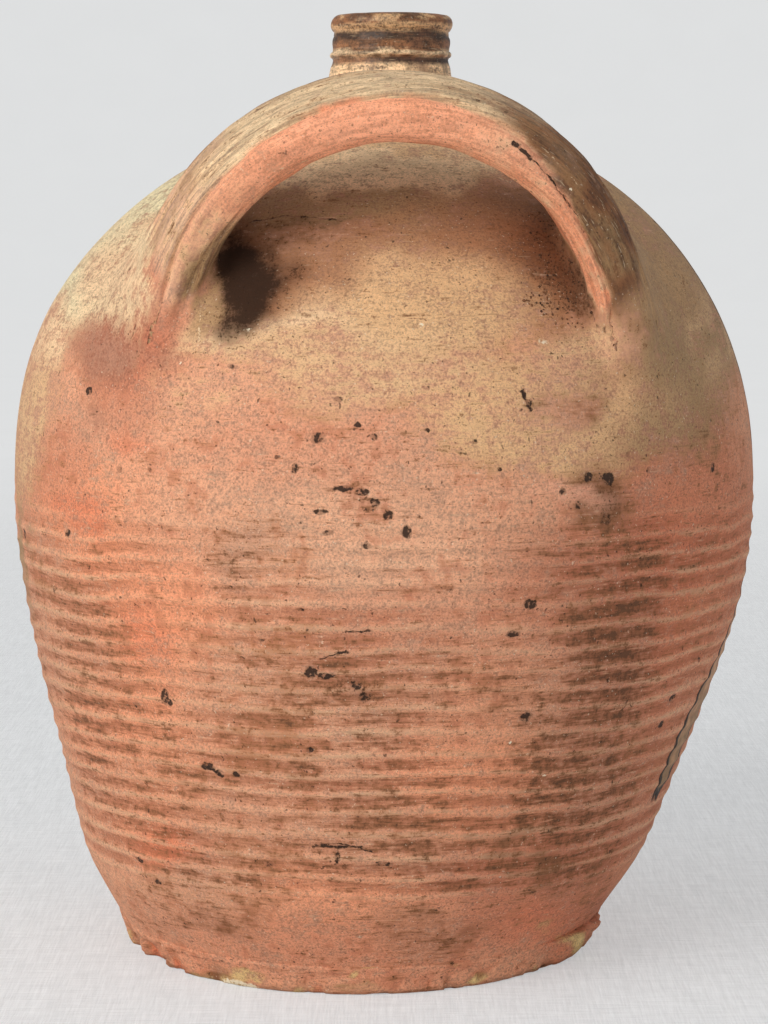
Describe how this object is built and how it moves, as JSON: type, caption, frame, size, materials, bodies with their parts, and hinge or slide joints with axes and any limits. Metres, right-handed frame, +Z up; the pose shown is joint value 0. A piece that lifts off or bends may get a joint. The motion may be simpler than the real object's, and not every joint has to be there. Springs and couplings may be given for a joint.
{
  "type": "oil jug",
  "caption": "Round unglazed oil jug with a ribbed lower body, domed shoulder, narrow collared neck and a strap handle arching in front of the neck.",
  "frame": {"origin": "middle of the foot's underside, on the surface that the jug stands on", "axes": "+Z up; -Y towards the handle, which is the pictured side; +X to the right of the picture"},
  "size_m": [0.297, 0.297, 0.37],
  "materials": {
    "foot_clay": "rough fired clay, chipped edge",
    "ribbed_clay": "matte salmon red fired clay with finger rings",
    "shoulder_clay": "matte ochre fired clay with thin slip",
    "neck_clay": "dark brown fired clay, slightly shiny",
    "handle_clay": "matte salmon and brown fired clay",
    "pad_clay": "rough sooty fired clay"
  },
  "bodies": {
    "root": {"base_disc": "foot_clay", "lower_body": "ribbed_clay", "upper_body": "shoulder_clay", "neck": "neck_clay", "handle": "handle_clay", "left_handle_pad": "pad_clay", "right_handle_pad": "pad_clay"}
  },
  "joints": []
}
